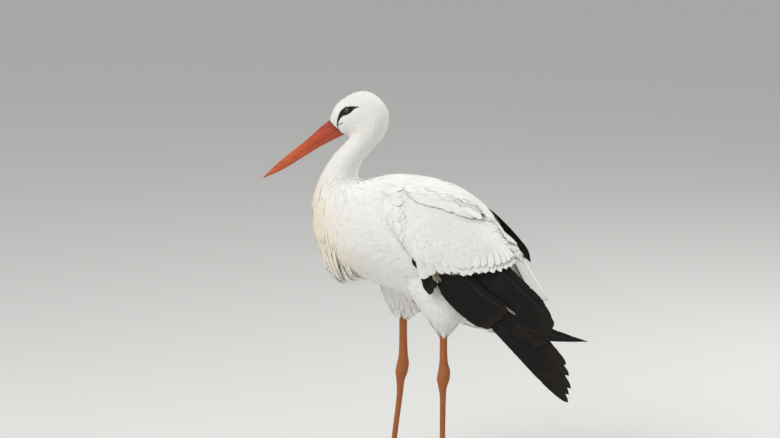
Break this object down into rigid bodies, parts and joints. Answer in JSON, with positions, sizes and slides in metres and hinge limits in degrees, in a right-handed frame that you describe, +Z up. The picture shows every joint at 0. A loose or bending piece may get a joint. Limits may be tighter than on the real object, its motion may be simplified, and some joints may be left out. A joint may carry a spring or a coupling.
{
  "type": "white stork",
  "caption": "Life-size standing stork with a retracted neck, long straight bill, folded wings with black flight feathers, one wing slack, and long bare legs with spread toes.",
  "frame": {"origin": "on the floor, under the middle of the bird's outline seen from above", "axes": "+Z up; the stork faces -X and its left side is -Y"},
  "size_m": [0.615, 0.2084, 0.7332],
  "materials": {
    "white_plumage": "soft, matt white feathers, faintly cream on the breast",
    "black_feathers": "black vanes with a slight brown-grey sheen",
    "bill": "satin orange-red horn",
    "leg_skin": "matt orange-brown scaly skin",
    "eye": "wet, glossy dark brown",
    "claw": "dull dark horn"
  },
  "bodies": {
    "root": {"bill_lower": "bill", "bill_upper": "bill", "claw_left_1": "claw", "claw_left_2": "claw", "claw_left_3": "claw", "claw_left_4": "claw", "claw_right_1": "claw", "claw_right_2": "claw", "claw_right_3": "claw", "claw_right_4": "claw", "eye_left": "eye", "eye_right": "eye", "foot_left": "leg_skin", "foot_right": "leg_skin", "head": "white_plumage", "neck_lower": "white_plumage", "neck_upper": "white_plumage", "shank_left": "leg_skin", "shank_right": "leg_skin", "tail": "white_plumage", "tarsus_left": "leg_skin", "tarsus_right": "leg_skin", "thigh_left": "white_plumage", "thigh_right": "white_plumage", "trunk": "white_plumage", "wing_left_alula": "black_feathers", "wing_left_arm": "white_plumage", "wing_left_hand_coverts": "black_feathers", "wing_left_primaries": "black_feathers", "wing_left_secondaries": "black_feathers", "wing_right_alula": "black_feathers", "wing_right_arm": "white_plumage", "wing_right_hand_coverts": "black_feathers", "wing_right_primaries": "black_feathers", "wing_right_secondaries": "black_feathers", "wing_right_tertials": "black_feathers"}
  },
  "joints": []
}
